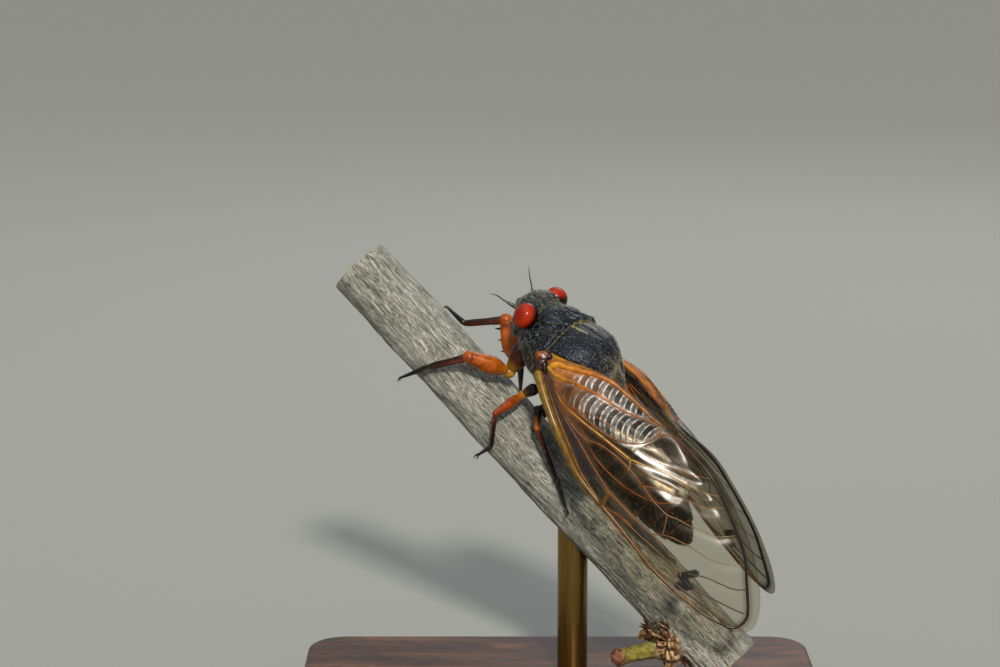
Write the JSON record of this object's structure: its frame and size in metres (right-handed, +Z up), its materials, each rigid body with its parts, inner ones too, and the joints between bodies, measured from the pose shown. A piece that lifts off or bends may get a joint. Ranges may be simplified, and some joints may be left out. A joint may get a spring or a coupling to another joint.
{
  "type": "periodical cicada",
  "caption": "Life-size cicada with folded clear wings and red eyes, clinging to a cut length of branch on a small display stand.",
  "frame": {"origin": "centre of the underside of the stand's base", "axes": "+Z up, +X along the base's long side, towards the branch's lower end and the wing tips; +Y along its short side, away from the insect's left side"},
  "size_m": [0.052, 0.036, 0.0467],
  "materials": {
    "black_chitin": "hard black cuticle with a blue sheen and fine straw-coloured hairs",
    "red_eye": "glossy red-orange compound eye",
    "orange_chitin": "satin orange-brown cuticle, darker towards the feet",
    "wing_membrane": "clear glossy membrane with orange veins",
    "bark": "grey-beige twig bark with fine lengthwise cracks",
    "stand_wood": "dark oiled walnut",
    "stand_brass": "brushed brass rod"
  },
  "bodies": {
    "root": {"head": "black_chitin", "eye_left": "red_eye", "eye_right": "red_eye", "antenna_left": "black_chitin", "antenna_right": "black_chitin", "beak": "black_chitin", "pronotum": "black_chitin", "mesothorax": "black_chitin", "abdomen": "black_chitin", "forewing_left": "wing_membrane", "forewing_right": "wing_membrane", "hindwing_left": "wing_membrane", "hindwing_right": "wing_membrane", "foreleg_left": "orange_chitin", "foreleg_right": "orange_chitin", "midleg_left": "orange_chitin", "midleg_right": "orange_chitin", "hindleg_left": "orange_chitin", "hindleg_right": "orange_chitin", "perch_branch": "bark", "stand_base": "stand_wood", "stand_rod": "stand_brass"}
  },
  "joints": []
}
